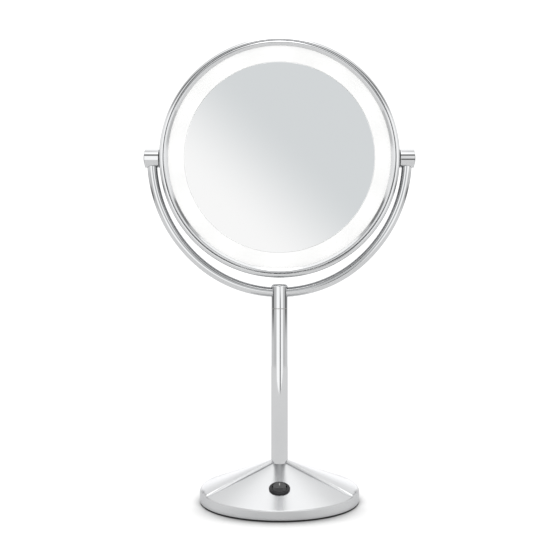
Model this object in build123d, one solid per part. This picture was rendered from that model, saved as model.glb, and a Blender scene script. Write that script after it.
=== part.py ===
"""Lighted vanity mirror: a round double-sided mirror head with a lit ring, tilting in a tubular yoke that
swivels on a single stem, on a round battery base with a sloping front panel that carries a rocker switch.

Millimetres. +Z is up, the front faces -Y, and the origin is the middle of the face that the base stands on.
"""

from build123d import *
from math import asin, atan, atan2, cos, degrees, hypot, radians, sin, sqrt, tan
import os

# ---------------------------------------------------------------- driving dimensions
PIVOT_Z = 294.0  # height of the tilt axis
RUN = 0.05  # radial clearance of a running fit
TOUCH = 0.02  # gap between pieces of one body that only touch

# head
HEAD_R = 102.5  # outside of the band
HEAD_HALF = 12.0  # half the head's thickness, at the bezel crests
BAND_IN_R = 100.6
LIP_R = 98.85  # inside of the band's lips, where the bezels go in
MIRROR_R = 81.1
GLASS_FACE = 9.5  # distance of both mirrors' faces from the middle plane
PLANE_GLASS = 3.0
DISH_GLASS = 2.0
DISH_CURVE = 520.0  # radius of curvature of the magnifying mirror
LIT_IN_R = 81.4
LIT_SEEN_R = 94.9  # inner edge of the bezels
LIT_OUT_R = 96.9
LIT_FACE = 9.8
LIT_THICK = 2.0
LED_R = 89.5
LED_COUNT = 12

# yoke
YOKE_HALF = 109.6  # centreline, beside the pivots
YOKE_DEPTH = 115.0  # centreline, below the pivots
YOKE_SIDE_CURVE = 118.0
YOKE_R = 4.25
YOKE_BORE = 3.25
YOKE_STOP = 5.6  # the tube's ends stop this far below the tilt axis
KNOB_R = 7.9
KNOB_IN = 103.3
KNOB_OUT = 115.3
KNOB_CAVITY_R = 5.0
KNOB_FLOOR = 106.0
CABLE_R = 1.0
CABLE_SHIFT = 0.7  # the cable lies this far outside the tube's centreline

# pivot hardware
PIN_R = 2.5
PIN_BORE = 1.15
PIN_HEAD_R = 4.2
PIN_HEAD_X = 107.9
PIN_TIP_X = 97.2
NUT_AF = 8.0

# stem and neck
STEM_R = 7.15
STEM_BORE = 6.25
STEM_FOOT_Z = 27.1
STEM_TOP_Z = 164.7
NECK_Z = 165.3  # underside of the tee
TEE_TOP_Z = 186.0
SPIGOT_R = 4.52
SPIGOT_END_Z = 147.5
NECK_BORE = 2.3
SWIVEL_LIMIT = 90.0

# base
BASE_R = 68.25
BASE_FOOT = 1.3  # underside of the chrome wall
SKIN = 2.0
LOBE_TOP_Z = 35.0
LOBE_SLOPE = 0.372
SHOULDER_R = 5.0
PANEL_APEX_Z = 35.43
PANEL_SLOPE = 0.34
PANEL_TILT = degrees(atan(0.05))  # the front panel's cone leans forward by this
PANEL_HALF_ANGLE = 62.0
STEP_LEAN = 45.0  # the steps up from the panel to the shoulders lean back by this
SOCKET_FLOOR_Z = 27.0
TRAY_Z = 1.2
TRAY_THICK = 2.4
SCREW_CIRCLE_R = 57.5
SCREW_ANGLES = (45, 135, 225, 315)

# battery bay
CELL_R = 7.25
CELL_LENGTH = 50.5
CELL_PITCH = 14.9
CELL_Z = 10.75
BAY_FRONT = -24.0
BAY_BACK = 32.0
BAY_HALF = 30.0
BAY_ROOF = 18.2
BAY_WALL = 1.1
DOOR_THICK = 1.8
DOOR_Z = 1.3

# switch, on the front panel
SWITCH_OUT = 40.5  # distance of its centre from the stem's axis
SWITCH_BEZEL_R = 8.7
SWITCH_BEZEL_H = 1.4
SWITCH_BODY_R = 7.4
SWITCH_DEPTH = 11.0
ROCKER_R = 6.0
ROCKER_HALF_W = 5.2
ROCKER_PIVOT = 0.2
ROCKER_TRAVEL = 8.0  # each side of level
ROCKER_VEE = 10.0
ROCKER_DIP = 0.9  # height of the vee's valley over the pivot


# ---------------------------------------------------------------- helpers
def export(name, shape):
    """Writes one node. A group of separate solids goes out as one compound."""
    os.makedirs("parts", exist_ok=True)
    shape.label = name
    export_step(shape, f"parts/{name}.step")


def turned(points, arc=360, start=0):
    """A solid turned about Z from an (r, z) outline."""
    face = make_face(Polyline(*[(r, 0, z) for r, z in points], close=True))
    return Rot(0, 0, start) * revolve(face, Axis.Z, arc)


def ring(r_out, r_in, low, high):
    return turned([(r_in, low), (r_out, low), (r_out, high), (r_in, high)])


def rod(radius, low, high):
    return Pos(0, 0, (low + high) / 2) * Cylinder(radius, high - low)


def hex_nut(across_flats, bore, low, high):
    prism = extrude(RegularPolygon(across_flats / 2, 6, major_radius=False), high - low)
    return Pos(0, 0, low) * prism - rod(bore, low - 1, high + 1)


def around(shape, angles, radius=0.0):
    return [Rot(0, 0, angle) * Pos(radius, 0, 0) * shape for angle in angles]


def group(solids):
    return Compound(children=list(solids))


def in_head(shape):
    """From the head's own frame, turned about Z with +Z to the front, to its place."""
    return Pos(0, 0, PIVOT_Z) * Rot(90, 0, 0) * shape


def on_pivot(shape, side):
    """From a frame whose +Z runs outward along the tilt axis. Side is "left" or "right"."""
    placed = Pos(0, 0, PIVOT_Z) * Rot(0, 90, 0) * shape
    return placed if side == "right" else mirror(placed, about=Plane.YZ)


def tube_along(path, radius):
    start = path @ 0
    return sweep(Plane(origin=start, z_dir=path % 0) * Circle(radius), path=path)


# ---------------------------------------------------------------- the yoke's line
# Three tangent arcs in the XZ plane: a flatter one up each side and a tighter one across the bottom.
SIDE_CENTRE_X = YOKE_HALF - YOKE_SIDE_CURVE
BOTTOM_CURVE = (
    (YOKE_SIDE_CURVE**2 - SIDE_CENTRE_X**2 - YOKE_DEPTH**2) / (2 * (YOKE_SIDE_CURVE - YOKE_DEPTH))
)
BOTTOM_CENTRE_Z = PIVOT_Z - YOKE_DEPTH + BOTTOM_CURVE
JOIN_ANGLE = atan2(PIVOT_Z - BOTTOM_CENTRE_Z, -SIDE_CENTRE_X)  # below horizontal


def side_point(below, shift=0.0, sign=1):
    """A point on the side arc, at that angle below the tilt axis."""
    radius = YOKE_SIDE_CURVE + shift
    return (sign * (SIDE_CENTRE_X + radius * cos(below)), 0, PIVOT_Z - radius * sin(below))


def bottom_point(below, shift=0.0, sign=1):
    radius = BOTTOM_CURVE + shift
    return (sign * radius * cos(below), 0, BOTTOM_CENTRE_Z - radius * sin(below))


def yoke_line():
    """The centreline from the left end, down and round to the right end."""
    top = asin(YOKE_STOP / YOKE_SIDE_CURVE)
    middle = (top + JOIN_ANGLE) / 2
    left = ThreePointArc(side_point(top, sign=-1), side_point(middle, sign=-1), side_point(JOIN_ANGLE, sign=-1))
    across = ThreePointArc(
        bottom_point(JOIN_ANGLE, sign=-1), bottom_point(radians(90)), bottom_point(JOIN_ANGLE)
    )
    right = ThreePointArc(side_point(JOIN_ANGLE), side_point(middle), side_point(top))
    return Wire([left.edge(), across.edge(), right.edge()])


YOKE_LINE = yoke_line()


# ---------------------------------------------------------------- head
def head_band():
    """The outer hoop, with rounded shoulders and inward lips, and a hole for each pivot pin."""
    edge = HEAD_HALF - 1.0
    round_r = 3.0
    flat = HEAD_R - round_r
    half = edge - round_r
    corner = round_r * cos(radians(45))
    section = [
        Line((HEAD_R, -half), (HEAD_R, half)),
        ThreePointArc((HEAD_R, half), (flat + corner, half + corner), (flat, edge)),
        Line((flat, edge), (LIP_R, edge)),
        Line((LIP_R, edge), (LIP_R, 8.7)),
        Line((LIP_R, 8.7), (BAND_IN_R, 7.2)),
        Line((BAND_IN_R, 7.2), (BAND_IN_R, -7.2)),
        Line((BAND_IN_R, -7.2), (LIP_R, -8.7)),
        Line((LIP_R, -8.7), (LIP_R, -edge)),
        Line((LIP_R, -edge), (flat, -edge)),
        ThreePointArc((flat, -edge), (flat + corner, -half - corner), (HEAD_R, -half)),
    ]
    face = make_face(Wire([e.edge() for e in section]))
    band = revolve(Plane.XZ * face, Axis.Z, 360)
    for side in (1, -1):
        band -= Pos(side * HEAD_R, 0, 0) * Rot(0, 90, 0) * Cylinder(PIN_R + TOUCH, 12)
    return band


def bezel():
    """A front ring: a rounded crest, a slope in to the lit ring, and a skirt that goes into the band."""
    crest_r, flange = 97.7, LIT_FACE + 0.05
    skirt_r = LIP_R - 0.12
    section = [
        Line((skirt_r, 5.6), (skirt_r, 10.8)),
        ThreePointArc((skirt_r, 10.8), (98.45, 11.65), (crest_r, HEAD_HALF)),
        ThreePointArc((crest_r, HEAD_HALF), (96.5, 11.6), (LIT_SEEN_R, 10.35)),
        Line((LIT_SEEN_R, 10.35), (LIT_SEEN_R, flange)),
        Line((LIT_SEEN_R, flange), (LIT_OUT_R + 0.2, flange)),
        Line((LIT_OUT_R + 0.2, flange), (LIT_OUT_R + 0.2, 5.6)),
        Line((LIT_OUT_R + 0.2, 5.6), (skirt_r, 5.6)),
    ]
    return revolve(Plane.XZ * make_face(Wire([e.edge() for e in section])), Axis.Z, 360)


def diffuser():
    """The opal ring, crowned a little between the mirror and the bezel."""
    low = LIT_FACE - LIT_THICK
    middle = (LIT_IN_R + LIT_SEEN_R) / 2
    section = [
        Line((LIT_IN_R, low), (LIT_OUT_R, low)),
        Line((LIT_OUT_R, low), (LIT_OUT_R, LIT_FACE)),
        Line((LIT_OUT_R, LIT_FACE), (LIT_SEEN_R, LIT_FACE)),
        ThreePointArc((LIT_SEEN_R, LIT_FACE), (middle, LIT_FACE + 0.25), (LIT_IN_R, GLASS_FACE)),
        Line((LIT_IN_R, GLASS_FACE), (LIT_IN_R, low)),
    ]
    return revolve(Plane.XZ * make_face(Wire([e.edge() for e in section])), Axis.Z, 360)


def plane_mirror():
    glass = rod(MIRROR_R, GLASS_FACE - PLANE_GLASS, GLASS_FACE)
    return chamfer(glass.edges().filter_by(GeomType.CIRCLE).sort_by(Axis.Z)[-1], 0.25)


def dish_depth(r):
    return sqrt(DISH_CURVE**2 - r**2) - sqrt(DISH_CURVE**2 - MIRROR_R**2)


def magnifying_mirror():
    """A dished disc, hollow towards its own +Z."""
    centre_z = GLASS_FACE + sqrt(DISH_CURVE**2 - MIRROR_R**2)
    slab = rod(MIRROR_R, -2, GLASS_FACE)
    face = Pos(0, 0, centre_z) * Sphere(DISH_CURVE)
    back = Pos(0, 0, centre_z) * Sphere(DISH_CURVE + DISH_GLASS)
    return (slab & back) - face


def mirror_carrier():
    """White moulding: a web behind the plane mirror, a ledge behind the dished one, a wall between the mirrors
    and the light chamber, ribs under the lamp board, and an outer hoop that backs both lit rings."""
    reach = LIT_FACE - LIT_THICK - 0.1
    wall = ring(83.4, 82.0, -reach, reach)
    web = rod(82.5, 4.0, 5.5)
    ledge = ring(82.5, 77.6, -6.1, -4.9)
    board_ledge = ring(86.0, 83.0, 0.65, 1.9)
    hoop = ring(LIT_OUT_R, 95.6, -reach, reach)
    rib = Pos((83.0 + 96.0) / 2, 0, -2.7) * Box(96.0 - 83.0, 1.4, 4.0)
    carrier = wall + web + ledge + board_ledge + hoop
    for placed in around(rib, range(30, 390, 60)):
        carrier += placed
    for side in (1, -1):
        carrier -= Pos(side * 95, 0, 0) * Rot(0, 90, 0) * Cylinder(1.3, 6)
    return carrier


def led_board():
    return ring(93.4, 84.0, -0.6, 0.6)


def leds(side):
    """Lamp packages, offset by half a step from the ribs. Side is 1 for the front face and -1 for the back."""
    body = Box(3.5, 2.8, 0.8)
    window = Pos(0, 0, 0.4 * side) * Cylinder(1.1, 0.3)
    lamp = Pos(0, 0, side * 1.02) * (body + window)
    return around(lamp, [i * 360 / LED_COUNT + 15 for i in range(LED_COUNT)], LED_R)


def front_tape():
    return ring(76.0, 62.0, 5.52, GLASS_FACE - PLANE_GLASS - TOUCH)


def rear_tape():
    """Foam ring between the carrier's ledge and the curved back of the dished mirror, in the mirror's frame."""
    def back(r):
        return GLASS_FACE - dish_depth(r) - DISH_GLASS - 0.05
    return turned([(78.0, 6.12), (81.0, 6.12), (81.0, back(81.0)), (78.0, back(78.0))])


# ---------------------------------------------------------------- pivots, in the on_pivot frame
def knob():
    """Round housing at a yoke end: a bearing wall for the pin, a cavity for its head, a socket for the tube."""
    body = rod(KNOB_R, KNOB_IN, KNOB_OUT)
    body = fillet(body.edges().filter_by(GeomType.CIRCLE).sort_by(Axis.Z)[0], 0.4)
    body -= rod(KNOB_CAVITY_R, KNOB_FLOOR, KNOB_OUT + 1)
    body -= rod(PIN_R + RUN, KNOB_IN - 1, KNOB_FLOOR + 1)
    cable_way = Pos(-(KNOB_CAVITY_R + YOKE_STOP) / 2, 0, YOKE_HALF + 0.5) * Rot(0, 90, 0) * Cylinder(1.6, 3)
    return body - cable_way.mirror(Plane.YZ)


def knob_cap():
    """Shallow domed plug that closes the knob's outer end."""
    rise = 1.6
    rim = KNOB_OUT + 0.05
    curve = (KNOB_R**2 + rise**2) / (2 * rise)
    dome = (Pos(0, 0, rim + rise - curve) * Sphere(curve)) & rod(KNOB_R, rim, rim + rise + 1)
    return dome + ring(KNOB_CAVITY_R - 0.05, 4.0, KNOB_OUT - 2.2, rim + 0.3)


def pivot_pin():
    """Hollow shoulder bolt: its head turns in the knob and its shank is bolted to the band."""
    head = rod(PIN_HEAD_R, PIN_HEAD_X - 1.4, PIN_HEAD_X)
    head = chamfer(head.edges().filter_by(GeomType.CIRCLE).sort_by(Axis.Z)[-1], 0.3)
    return head + rod(PIN_R, PIN_TIP_X, PIN_HEAD_X - 1) - rod(PIN_BORE, 90, 110)


def wave_washer():
    return ring(PIN_HEAD_R, PIN_R + 0.15, KNOB_FLOOR + TOUCH, PIN_HEAD_X - 1.4 - TOUCH)


def spacer():
    return ring(KNOB_R - 0.4, PIN_R + TOUCH, HEAD_R + 0.1, KNOB_IN - 0.1)


def inner_washer():
    return ring(4.6, PIN_R + TOUCH, 99.75, BAND_IN_R - 0.2)


def pivot_nut():
    return hex_nut(NUT_AF, PIN_R + TOUCH, PIN_TIP_X + 0.1, 99.73)


# ---------------------------------------------------------------- yoke, tee and neck
def yoke_tube():
    tube = tube_along(YOKE_LINE, YOKE_R) - tube_along(YOKE_LINE, YOKE_BORE)
    cable_hole = Pos(0, 0, PIVOT_Z - YOKE_DEPTH - 4) * Cylinder(1.7, 6)
    return tube - cable_hole


def neck_tee():
    """Short upright that holds the yoke, with a hollow spigot that turns in the stem."""
    body = rod(STEM_R, NECK_Z, TEE_TOP_Z)
    body = fillet(body.edges().filter_by(GeomType.CIRCLE).sort_by(Axis.Z)[-1], 2.2)
    body += rod(SPIGOT_R, SPIGOT_END_Z, NECK_Z + 1)
    body -= tube_along(YOKE_LINE, YOKE_R + TOUCH)
    body -= rod(NECK_BORE, SPIGOT_END_Z - 1, PIVOT_Z - YOKE_DEPTH)
    body -= ring(SPIGOT_R + 1, 3.9, 148.3, 149.1)
    return body - stop_pin(0.77)


def stop_pin(radius=0.75):
    """Radial pin at the back of the spigot, which meets the ends of the bushing's slot."""
    return Pos(0, 4.3, 151.3) * Rot(90, 0, 0) * Cylinder(radius, 2.8)


def spigot_clip():
    clip = ring(5.5, 3.92, 148.34, 149.06)
    return clip - Pos(0, -5, 148.7) * Box(4.0, 4.0, 2)


def thrust_washer():
    return ring(6.1, SPIGOT_R + 0.1, 149.14, 149.94)


def neck_bushing():
    """Nylon sleeve in the stem's mouth, with a thin flange and a slot that limits the swivel."""
    sleeve = ring(STEM_BORE - 0.03, SPIGOT_R + RUN, 150.0, STEM_TOP_Z + 0.1)
    flange = ring(STEM_R - 0.25, SPIGOT_R + RUN, STEM_TOP_Z + TOUCH, NECK_Z - TOUCH)
    half = SWIVEL_LIMIT + 10
    slot = turned([(4.0, 149), (5.85, 149), (5.85, 152.4), (4.0, 152.4)], 2 * half, 90 - half)
    return sleeve + flange - slot


def stem_tube():
    return ring(STEM_R, STEM_BORE, STEM_FOOT_Z, STEM_TOP_Z)


def stem_plug():
    return ring(STEM_BORE - TOUCH, 5.0 + TOUCH, STEM_FOOT_Z, STEM_FOOT_Z + 12)


def stem_nipple():
    return ring(5.0, 3.2, 20.9, STEM_FOOT_Z + 11)


def stem_washer():
    return ring(8.6, 5.0 + TOUCH, 23.85, 24.45)


def stem_nut():
    return hex_nut(14.0, 5.0 + TOUCH, 21.1, 23.83)


# ---------------------------------------------------------------- base
def lobe_z(r):
    return LOBE_TOP_Z - LOBE_SLOPE * (r - STEM_R)


def panel_z(r, azimuth=0.0):
    """Height of the front panel at that distance and angle from straight ahead."""
    lean = tan(radians(PANEL_TILT))
    return PANEL_APEX_Z - r * (PANEL_SLOPE + lean * cos(radians(azimuth)))


def panel_side(side, shift):
    """Everything on the panel's side of the leaning step that rises from one crease line."""
    angle = radians(PANEL_HALF_ANGLE)
    lean = radians(STEP_LEAN)
    fall = PANEL_SLOPE + tan(radians(PANEL_TILT)) * cos(angle)
    along = Vector(side * sin(angle), -cos(angle), -fall).normalized()
    across = Vector(side * cos(angle), sin(angle), 0)
    up = across.cross(along) * -side
    outward = across * cos(lean) - up * sin(lean)
    plane = Plane(origin=(0, 0, PANEL_APEX_Z), x_dir=along, z_dir=-outward)
    return plane.location * Pos(0, 0, 100 - shift) * Box(400, 400, 200)


def above_panel(drop, shift=0.0):
    """Everything over the panel's leaning cone, lowered by drop, between the two steps, moved out by shift."""
    far = 90.0
    outline = [(0, PANEL_APEX_Z), (far, PANEL_APEX_Z - PANEL_SLOPE * far), (far, 70), (0, 70)]
    over = Rot(PANEL_TILT, 0, 0) * Pos(0, 0, -PANEL_APEX_Z) * turned(outline)
    over = Pos(0, 0, PANEL_APEX_Z - drop) * over
    return over & panel_side(1, shift) & panel_side(-1, shift)


def base_outer():
    """The base's outer form as a filled solid, with a rounded shoulder."""
    corner = (BASE_R, lobe_z(BASE_R))
    mass = turned([(0, BASE_FOOT), (BASE_R, BASE_FOOT), corner, (0, lobe_z(0))])
    edge = mass.edges().filter_by(GeomType.CIRCLE).sort_by(lambda e: -e.radius)[:2].sort_by(Axis.Z)[-1]
    return fillet(edge, SHOULDER_R) - above_panel(0)


def base_hollow():
    """The space inside the cover, one skin in from the outer form."""
    wall_r = BASE_R - SKIN
    drop = SKIN / cos(atan(LOBE_SLOPE))
    bevel = SHOULDER_R - SKIN
    outline = [
        (0, BASE_FOOT - 1),
        (wall_r, BASE_FOOT - 1),
        (wall_r, lobe_z(wall_r) - drop - bevel),
        (wall_r - bevel, lobe_z(wall_r - bevel) - drop),
        (0, lobe_z(0) - drop),
    ]
    return turned(outline) - above_panel(drop, SKIN)


def switch_place():
    """Frame on the panel: +Z out of the panel and +Y up the slope."""
    slope = PANEL_SLOPE + tan(radians(PANEL_TILT))
    lean = atan(slope)
    return Plane(
        origin=(0, -SWITCH_OUT, panel_z(SWITCH_OUT)), x_dir=(1, 0, 0), z_dir=(0, -sin(lean), cos(lean))
    ).location


SWITCH = switch_place()


def base_cover():
    """Chromed shell: two raised shoulders and a back, a lower front panel, a stem socket and screw bosses."""
    mass = base_outer()
    cover = mass - base_hollow()
    cover += rod(10.6, SOCKET_FLOOR_Z - 2.5, 36) & mass
    for angle in SCREW_ANGLES:
        post = Pos(SCREW_CIRCLE_R * cos(radians(angle)), SCREW_CIRCLE_R * sin(radians(angle)), 0)
        cover += (post * rod(3.4, 7.9, 30)) & mass
    for angle in SCREW_ANGLES:
        post = Pos(SCREW_CIRCLE_R * cos(radians(angle)), SCREW_CIRCLE_R * sin(radians(angle)), 0)
        cover -= post * rod(1.4 + TOUCH, 7, 10.6)
    cover -= rod(STEM_R + TOUCH, SOCKET_FLOOR_Z, 50)
    cover -= rod(5.1, 20, SOCKET_FLOOR_Z + 1)
    seat = SWITCH * (rod(SWITCH_BEZEL_R + 0.15, -0.35, 4) + rod(SWITCH_BODY_R + 0.1, -6, 1))
    return cover - seat


def base_tray():
    """Black floor with the battery bay moulded up from it."""
    top = TRAY_Z + TRAY_THICK
    floor = rod(BASE_R - SKIN - 0.15, TRAY_Z, top)
    depth = BAY_BACK - BAY_FRONT
    middle = (BAY_BACK + BAY_FRONT) / 2
    roof = BAY_ROOF + BAY_WALL
    outer = Pos(0, middle, (top + roof) / 2) * Box(
        2 * (BAY_HALF + BAY_WALL), depth + 2 * BAY_WALL, roof - top
    )
    long_edges = outer.edges().filter_by(Axis.Y).sort_by(Axis.Z)[-2:]
    outer = chamfer(long_edges, 5.6)
    inner = Pos(0, middle, BAY_ROOF / 2) * Box(2 * BAY_HALF, depth, BAY_ROOF)
    long_edges = inner.edges().filter_by(Axis.Y).sort_by(Axis.Z)[-2:]
    inner = chamfer(long_edges, 4.6)
    tray = floor + outer - inner
    pins = Pos(0, DOOR_HINGE_Y, DOOR_HINGE_Z) * Rot(0, 90, 0) * Cylinder(0.66, 2 * BAY_HALF + 4)
    tray -= pins
    for angle in SCREW_ANGLES:
        post = Pos(SCREW_CIRCLE_R * cos(radians(angle)), SCREW_CIRCLE_R * sin(radians(angle)), 0)
        tray -= post * (rod(1.6, 0, 5) + rod(2.9, 0, TRAY_Z + 1.3))
    for i in (0, 3):
        tray -= Pos(cell_x(i), BAY_FRONT - 0.5, CELL_Z) * Rot(90, 0, 0) * Cylinder(0.85, 3)
    return tray


DOOR_HINGE_Y = BAY_FRONT + 1.3
DOOR_HINGE_Z = DOOR_Z + DOOR_THICK / 2


def battery_door():
    """Flat door with a rounded hinge edge, two clip-in pins, stiffening ribs and a sprung tongue at the back."""
    half = BAY_HALF - 0.35
    back = BAY_BACK - 0.35
    plate = Pos(0, (DOOR_HINGE_Y + back) / 2, DOOR_HINGE_Z) * Box(2 * half, back - DOOR_HINGE_Y, DOOR_THICK)
    edge = Pos(0, DOOR_HINGE_Y, DOOR_HINGE_Z) * Rot(0, 90, 0) * Cylinder(DOOR_THICK / 2, 2 * half)
    pins = Pos(0, DOOR_HINGE_Y, DOOR_HINGE_Z) * Rot(0, 90, 0) * Cylinder(0.6, 2 * half + 3.6)
    door = plate + edge + pins
    for side in (-1, 1):
        door -= Pos(side * 8, back - 4, DOOR_HINGE_Z) * Box(0.8, 9, 4)
    grip = Pos(0, back - 4.5, DOOR_Z) * Box(11, 1.2, 1.2)
    for step in range(3):
        door -= Pos(0, step * 2.4 - 2.4, 0) * grip
    return door


def foot_ring():
    return ring(BASE_R - 0.65, 61.5, 0, TRAY_Z - TOUCH)


def ballast_ring():
    ballast = ring(63.5, 50.0, TRAY_Z + TRAY_THICK + TOUCH, 7.3)
    for hole in around(rod(2.2, 0, 10), SCREW_ANGLES, SCREW_CIRCLE_R):
        ballast -= hole
    return ballast


def base_screw():
    head = rod(2.7, TRAY_Z - 0.05, TRAY_Z + 1.25)
    slot = Pos(0, 0, TRAY_Z) * (Box(3.2, 0.7, 1.2) + Box(0.7, 3.2, 1.2))
    return head + rod(1.4, TRAY_Z + 1, 10.4) - slot


def cell_x(i):
    return (i - 1.5) * CELL_PITCH


PLATE_THICK = 0.4
NUB = 1.3


def aa_cell(i):
    """A cell with its nub forward for even places and backward for odd ones."""
    body = rod(CELL_R, 0, CELL_LENGTH - NUB) + rod(2.75, CELL_LENGTH - NUB - 1, CELL_LENGTH)
    if i % 2 == 0:
        return Pos(cell_x(i), BAY_FRONT + PLATE_THICK + 0.1 + CELL_LENGTH, CELL_Z) * Rot(90, 0, 0) * body
    return Pos(cell_x(i), BAY_BACK - PLATE_THICK - 0.1 - CELL_LENGTH, CELL_Z) * Rot(-90, 0, 0) * body


def contact_spring(i):
    """Bowed leaf at the flat end of a cell."""
    bow = BAY_BACK - BAY_FRONT - CELL_LENGTH - 2 * PLATE_THICK - 0.25
    outside = ThreePointArc((4, 0), (0, bow), (-4, 0)).edge()
    inside = ThreePointArc((-3.6, 0), (0, bow - 0.35), (3.6, 0)).edge()
    feet = [Line((-4, 0), (-3.6, 0)).edge(), Line((3.6, 0), (4, 0)).edge()]
    leaf = extrude(make_face(Wire([outside, feet[0], inside, feet[1]])), 3, both=True)
    leaf = Rot(0, 90, 0) * leaf
    if i % 2 == 0:
        return Pos(cell_x(i), BAY_BACK - PLATE_THICK - TOUCH, CELL_Z) * Rot(0, 0, 180) * leaf
    return Pos(cell_x(i), BAY_FRONT + PLATE_THICK + TOUCH, CELL_Z) * leaf


def contact_plate(first, last, y):
    """One metal tab behind the ends of the cells from first to last, in series."""
    width = cell_x(last) - cell_x(first) + 10
    return Pos((cell_x(first) + cell_x(last)) / 2, y, CELL_Z) * Box(width, PLATE_THICK, 9)


def contact_plates():
    front, back = BAY_FRONT + PLATE_THICK / 2 + 0.01, BAY_BACK - PLATE_THICK / 2 - 0.01
    places = [(0, 0, front), (1, 2, front), (3, 3, front), (0, 1, back), (2, 3, back)]
    return [contact_plate(*place) for place in places]


# ---------------------------------------------------------------- switch, in the panel's frame
def switch_housing():
    """Round bezel and body with a well that the rocker turns in."""
    bezel_ring = rod(SWITCH_BEZEL_R, -0.33, SWITCH_BEZEL_H)
    bezel_ring = fillet(bezel_ring.edges().filter_by(GeomType.CIRCLE).sort_by(Axis.Z)[-1], 1.0)
    body = bezel_ring + rod(SWITCH_BODY_R, -SWITCH_DEPTH, 0)
    body -= rod(ROCKER_R + 0.15, -5.0, SWITCH_BEZEL_H + 1)
    trunnions = Pos(0, 0, ROCKER_PIVOT) * Rot(0, 90, 0) * Cylinder(0.92, 2 * 6.95)
    return body - trunnions


def switch_rocker():
    """Rocker with a shallow vee top, ends rounded about its pivot, and two trunnions."""
    ball = Sphere(ROCKER_R) & Box(2 * ROCKER_HALF_W, 20, 20)
    ball &= Pos(0, 0, 1.5) * Box(20, 20, 8)
    rise = 10 * tan(radians(ROCKER_VEE))
    above = [(0, 0, ROCKER_DIP), (0, 10, ROCKER_DIP + rise), (0, 10, 12), (0, -10, 12), (0, -10, ROCKER_DIP + rise)]
    ball -= extrude(make_face(Polyline(*above, close=True)), 10, dir=(1, 0, 0), both=True)
    trunnions = Rot(0, 90, 0) * Cylinder(0.85, 2 * 6.8)
    return Pos(0, 0, ROCKER_PIVOT) * Rot(ROCKER_TRAVEL, 0, 0) * (ball + trunnions)


def switch_terminals():
    return [Pos(side * 3.2, 0, -SWITCH_DEPTH - 1.9) * Box(0.7, 3.8, 3.78) for side in (-1, 1)]


# ---------------------------------------------------------------- wiring
def yoke_cable():
    """From under the spigot, up the tee, along the left half of the yoke and into the left knob."""
    bend, knob_bend = 3.0, 2.0
    bottom = BOTTOM_CURVE + CABLE_SHIFT
    rise_z = BOTTOM_CENTRE_Z - sqrt((bottom + bend) ** 2 - bend**2)
    away = atan2(BOTTOM_CENTRE_Z - rise_z, bend)  # of the small bend's centre, below horizontal
    start = (0, 0, SPIGOT_END_Z - 0.7)
    turn_mid = radians(45)
    meet = bottom_point(away, CABLE_SHIFT, -1)
    end_below = asin(knob_bend / (YOKE_SIDE_CURVE + CABLE_SHIFT))
    top = side_point(end_below, CABLE_SHIFT, -1)
    exit_point = (top[0] + knob_bend, 0, PIVOT_Z)
    edges = [
        Line(start, (0, 0, rise_z)),
        ThreePointArc((0, 0, rise_z), (-bend + bend * cos(turn_mid), 0, rise_z + bend * sin(turn_mid)), meet),
        ThreePointArc(
            meet,
            bottom_point((away + JOIN_ANGLE) / 2, CABLE_SHIFT, -1),
            bottom_point(JOIN_ANGLE, CABLE_SHIFT, -1),
        ),
        ThreePointArc(
            side_point(JOIN_ANGLE, CABLE_SHIFT, -1),
            side_point((JOIN_ANGLE + end_below) / 2, CABLE_SHIFT, -1),
            top,
        ),
        ThreePointArc(
            top,
            (top[0] + knob_bend * (1 - cos(turn_mid)), 0, PIVOT_Z - knob_bend * (1 - sin(turn_mid))),
            exit_point,
        ),
    ]
    path = Wire([e.edge() for e in edges])
    cable = tube_along(path, CABLE_R)
    print("yoke cable volume ratio", round(cable.volume / (3.14159265 * CABLE_R**2 * path.length), 4))
    return cable


def head_cable():
    return on_pivot(rod(0.95, 93.5, PIN_HEAD_X - 0.1), "left")


def stem_cable():
    """Twin lead, two cores side by side."""
    core = rod(0.75, 23.0, SPIGOT_END_Z - 1.0)
    return Pos(0.55, 0, 0) * core + Pos(-0.55, 0, 0) * core


def routed(points, radius):
    """A thin lead through the points, with arcs as large as its runs allow."""
    radii = []
    for before, here, after in zip(points, points[1:], points[2:]):
        a, b = Vector(*before) - Vector(*here), Vector(*after) - Vector(*here)
        turn = radians(180 - a.get_angle(b))
        radii.append(0.45 * min(a.length, b.length) / tan(turn / 2))
    path = FilletPolyline(*points, radius=radii)
    lead = tube_along(path, radius)
    ratio = lead.volume / (3.14159265 * radius**2 * path.length)
    print("lead radii", [round(r, 1) for r in radii], "volume ratio", round(ratio, 4))
    return lead


def base_leads():
    """Battery to switch, switch to stem, and battery to stem, over the roof of the bay."""
    tab = SWITCH * Pos(-3.2, 0, -SWITCH_DEPTH - 2.6)
    tab_x, tab_y, tab_z = tab.position
    wall = BAY_FRONT - 0.01
    to_switch = [
        (cell_x(0), wall, CELL_Z),
        (cell_x(0), wall - 4.4, CELL_Z),
        (cell_x(0) + 6, tab_y + 3.0, tab_z + 2),
        (tab_x - 3.6, tab_y + 0.4, tab_z),
        (tab_x - 1.0, tab_y, tab_z),
    ]
    from_switch = [
        (-tab_x + 1.0, tab_y, tab_z),
        (-tab_x + 4.2, tab_y + 0.5, tab_z + 0.4),
        (10.5, wall - 4.5, 12.0),
        (9.5, wall - 3.6, 20.5),
        (2.4, -12.0, 20.1),
        (-1.2, -1.0, 20.05),
        (-1.3, 0.6, 22.6),
    ]
    from_battery = [
        (cell_x(3), wall, CELL_Z),
        (cell_x(3) - 0.4, wall - 3.6, CELL_Z + 0.6),
        (cell_x(3) - 4.0, wall - 4.2, 15.5),
        (14.5, wall - 3.6, 20.4),
        (6.0, -11.0, 20.1),
        (1.3, -1.0, 20.05),
        (1.3, 0.6, 22.6),
    ]
    return [routed(points, 0.5) for points in (to_switch, from_switch, from_battery)]


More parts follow.
